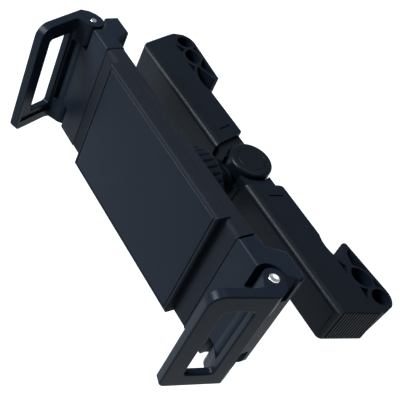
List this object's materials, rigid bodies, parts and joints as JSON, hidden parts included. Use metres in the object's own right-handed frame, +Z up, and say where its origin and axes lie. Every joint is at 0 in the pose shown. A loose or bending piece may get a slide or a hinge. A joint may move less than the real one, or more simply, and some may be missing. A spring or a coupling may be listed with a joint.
{
  "type": "car phone holder",
  "caption": "Headrest phone holder: sliding hooks on a bar clip behind two headrest posts, and a ball joint carries a sprung clamp with folding arms.",
  "frame": {"origin": "midway between the two headrest posts, at the rear bar's mid-height", "axes": "+X along the rear bar, +Y from the phone to the seat back, +Z up"},
  "size_m": [0.1744, 0.0968, 0.0573],
  "materials": {
    "bar_plastic": "fine matt, moulded",
    "clamp_plastic": "satin, moulded",
    "panel_plastic": "smooth satin",
    "arm_plastic": "smooth satin",
    "dial_plastic": "fine matt, moulded",
    "inner_plastic": "plain moulded",
    "pin_steel": "bright",
    "screw_steel": "plain steel"
  },
  "bodies": {
    "rear_hub": {"hub_shell": "bar_plastic", "hub_cover": "bar_plastic", "hub_screws": "screw_steel"},
    "dial": {"dial_knob": "dial_plastic", "dial_cap": "dial_plastic", "dial_pinion": "inner_plastic"},
    "left_hook_slide_body": {"left_hook": "bar_plastic", "left_hook_rail": "inner_plastic"},
    "right_hook_slide_body": {"right_hook": "bar_plastic", "right_hook_rail": "inner_plastic"},
    "stud": {"ball_stud": "dial_plastic"},
    "cup": {"friction_cup": "inner_plastic"},
    "sleeve": {"socket_collet": "clamp_plastic", "front_shell": "clamp_plastic", "front_panel": "panel_plastic", "back_shell": "clamp_plastic", "shell_screws": "screw_steel", "left_spring": "screw_steel", "right_spring": "screw_steel"},
    "nut": {"ring_nut": "dial_plastic"},
    "clamp_pinion": {"front_pinion": "inner_plastic"},
    "left_block_body": {"left_block": "clamp_plastic", "left_tongue": "inner_plastic", "left_hinge_pin": "pin_steel"},
    "right_block_body": {"right_block": "clamp_plastic", "right_tongue": "inner_plastic", "right_hinge_pin": "pin_steel"},
    "left_arm_body": {"left_arm": "arm_plastic"},
    "right_arm_body": {"right_arm": "arm_plastic"}
  },
  "joints": [
    {"name": "right_hook_slide", "type": "slide", "parent": "rear_hub", "child": "right_hook_slide_body", "axis": [1, 0, 0], "range_m": [0, 0.028]},
    {"name": "left_hook_slide", "type": "slide", "parent": "rear_hub", "child": "left_hook_slide_body", "axis": [-1, 0, 0], "range_m": [0, 0.028]},
    {"name": "dial_turn", "type": "hinge", "parent": "rear_hub", "child": "dial", "pos_m": [0, -0.011, 0.003], "axis": [0, 0, 1], "range_deg": [0, 472.1]},
    {"name": "ball_spin", "type": "hinge", "parent": "rear_hub", "child": "stud", "pos_m": [0, -0.042, 0], "axis": [0, 1, 0], "continuous": true},
    {"name": "ball_tilt", "type": "hinge", "parent": "stud", "child": "cup", "pos_m": [0, -0.042, 0], "axis": [1, 0, 0], "range_deg": [-15, 15]},
    {"name": "ball_pan", "type": "hinge", "parent": "cup", "child": "sleeve", "pos_m": [0, -0.042, 0], "axis": [0, 0, 1], "range_deg": [-11, 11]},
    {"name": "nut_turn", "type": "hinge", "parent": "sleeve", "child": "nut", "pos_m": [0, -0.042, 0], "axis": [0, 1, 0], "range_deg": [0, 180]},
    {"name": "right_block_slide", "type": "slide", "parent": "sleeve", "child": "right_block_body", "axis": [1, 0, 0], "range_m": [0, 0.04], "stiffness_N_per_m": 60, "springref_m": -0.05, "deforming": ["right_spring"]},
    {"name": "left_block_slide", "type": "slide", "parent": "sleeve", "child": "left_block_body", "axis": [-1, 0, 0], "range_m": [0, 0.04], "stiffness_N_per_m": 60, "springref_m": -0.05, "deforming": ["left_spring"]},
    {"name": "clamp_pinion_turn", "type": "hinge", "parent": "sleeve", "child": "clamp_pinion", "pos_m": [0, -0.0611, 0.00465], "axis": [0, 1, 0], "range_deg": [0, 305.9]},
    {"name": "right_arm_fold", "type": "hinge", "parent": "right_block_body", "child": "right_arm_body", "pos_m": [0.0707, -0.0621, 0.00465], "axis": [0, 0, 1], "range_deg": [-73.5, 16.5]},
    {"name": "left_arm_fold", "type": "hinge", "parent": "left_block_body", "child": "left_arm_body", "pos_m": [-0.0707, -0.0621, 0.00465], "axis": [0, 0, 1], "range_deg": [-21, 69]}
  ],
  "couplings": [
    {"joint": "left_hook_slide", "follows": "right_hook_slide", "ratio": 1},
    {"joint": "dial_turn", "follows": "right_hook_slide", "rad_per_m": 294.12},
    {"joint": "left_block_slide", "follows": "right_block_slide", "ratio": 1},
    {"joint": "clamp_pinion_turn", "follows": "right_block_slide", "rad_per_m": 133.33}
  ]
}
